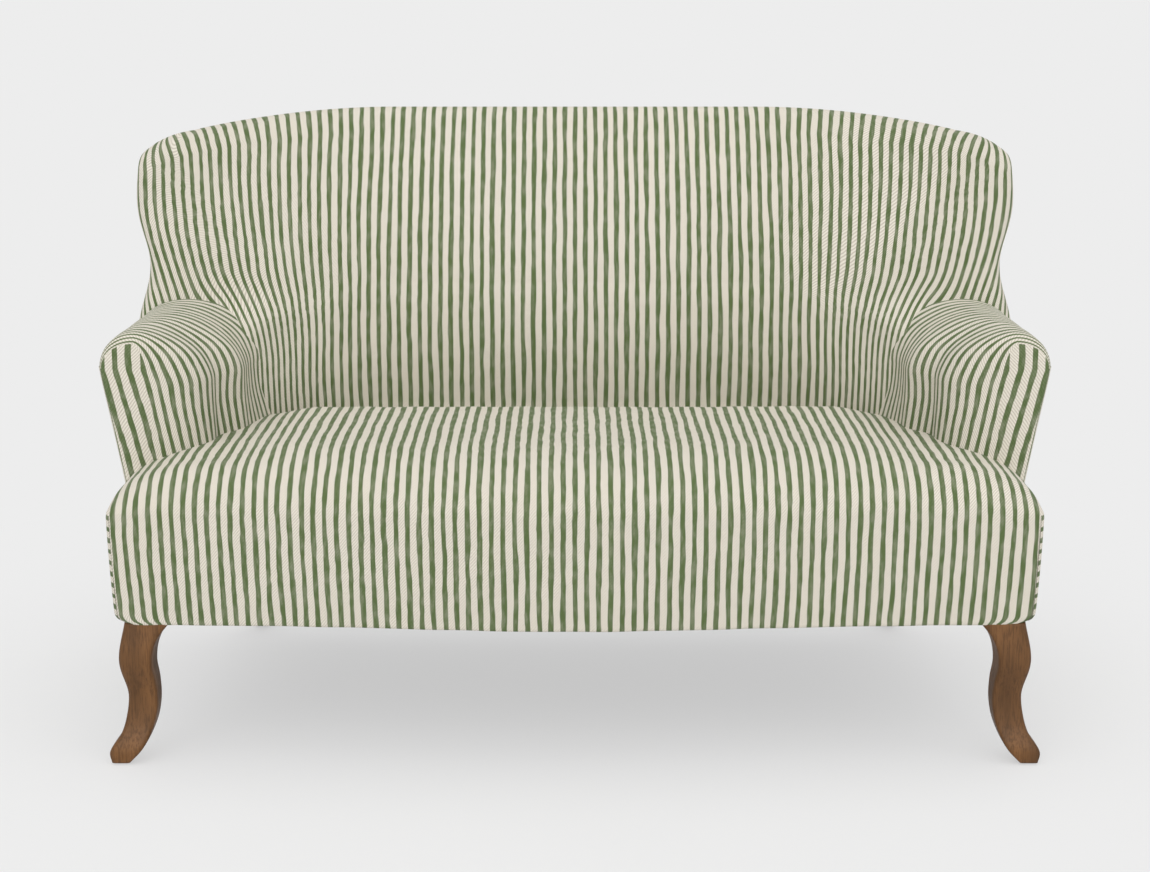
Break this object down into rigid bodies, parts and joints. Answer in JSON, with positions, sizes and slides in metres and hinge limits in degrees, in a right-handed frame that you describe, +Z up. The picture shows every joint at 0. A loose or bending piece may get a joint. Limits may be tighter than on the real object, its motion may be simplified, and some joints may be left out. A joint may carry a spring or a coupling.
{
  "type": "high back settee",
  "caption": "Two-seat upholstered settee with a tall back that curves forward into short wings, low rolled arms, a tight seat and four wooden legs.",
  "frame": {"origin": "on the floor, in the middle of the settee's width and depth", "axes": "+X to the right as seen from the front, +Y to the back, +Z up; the seat faces -Y"},
  "size_m": [1.483, 0.778, 0.985],
  "materials": {
    "cover": "matte",
    "leg_wood": "satin",
    "frame_wood": "matte",
    "stuffing": "matte",
    "webbing": "matte",
    "underlining": "matte",
    "steel": "satin",
    "glide": "matte"
  },
  "bodies": {
    "root": {"back_foam": "stuffing", "back_hessian": "underlining", "back_rail": "frame_wood", "back_uprights": "frame_wood", "back_webbing": "webbing", "centre_stretcher": "frame_wood", "corner_blocks": "frame_wood", "crest_rail": "frame_wood", "dust_cover": "underlining", "frame_dowels": "frame_wood", "front_edge_pad": "stuffing", "front_left_leg": "leg_wood", "front_rail": "frame_wood", "front_right_leg": "leg_wood", "inside_back_cover": "cover", "left_arm_facing": "cover", "left_arm_foam": "stuffing", "left_arm_post": "frame_wood", "left_arm_rail": "frame_wood", "left_facing_pad": "stuffing", "left_inside_arm_cover": "cover", "left_inside_wing_cover": "cover", "left_outside_arm_cover": "cover", "left_outside_wing_cover": "cover", "left_rear_post": "frame_wood", "left_seat_border": "cover", "left_side_rail": "frame_wood", "left_wing_foam": "stuffing", "left_wing_post": "frame_wood", "leg_bolts": "steel", "leg_glides": "glide", "leg_inserts": "steel", "low_back_rail": "frame_wood", "outside_back_cover": "cover", "rear_left_leg": "leg_wood", "rear_right_leg": "leg_wood", "right_arm_facing": "cover", "right_arm_foam": "stuffing", "right_arm_post": "frame_wood", "right_arm_rail": "frame_wood", "right_facing_pad": "stuffing", "right_inside_arm_cover": "cover", "right_inside_wing_cover": "cover", "right_outside_arm_cover": "cover", "right_outside_wing_cover": "cover", "right_rear_post": "frame_wood", "right_seat_border": "cover", "right_side_rail": "frame_wood", "right_wing_foam": "stuffing", "right_wing_post": "frame_wood", "seat_cover": "cover", "seat_foam": "stuffing", "seat_hessian": "underlining", "seat_springs": "steel", "spring_clips": "steel"}
  },
  "joints": []
}
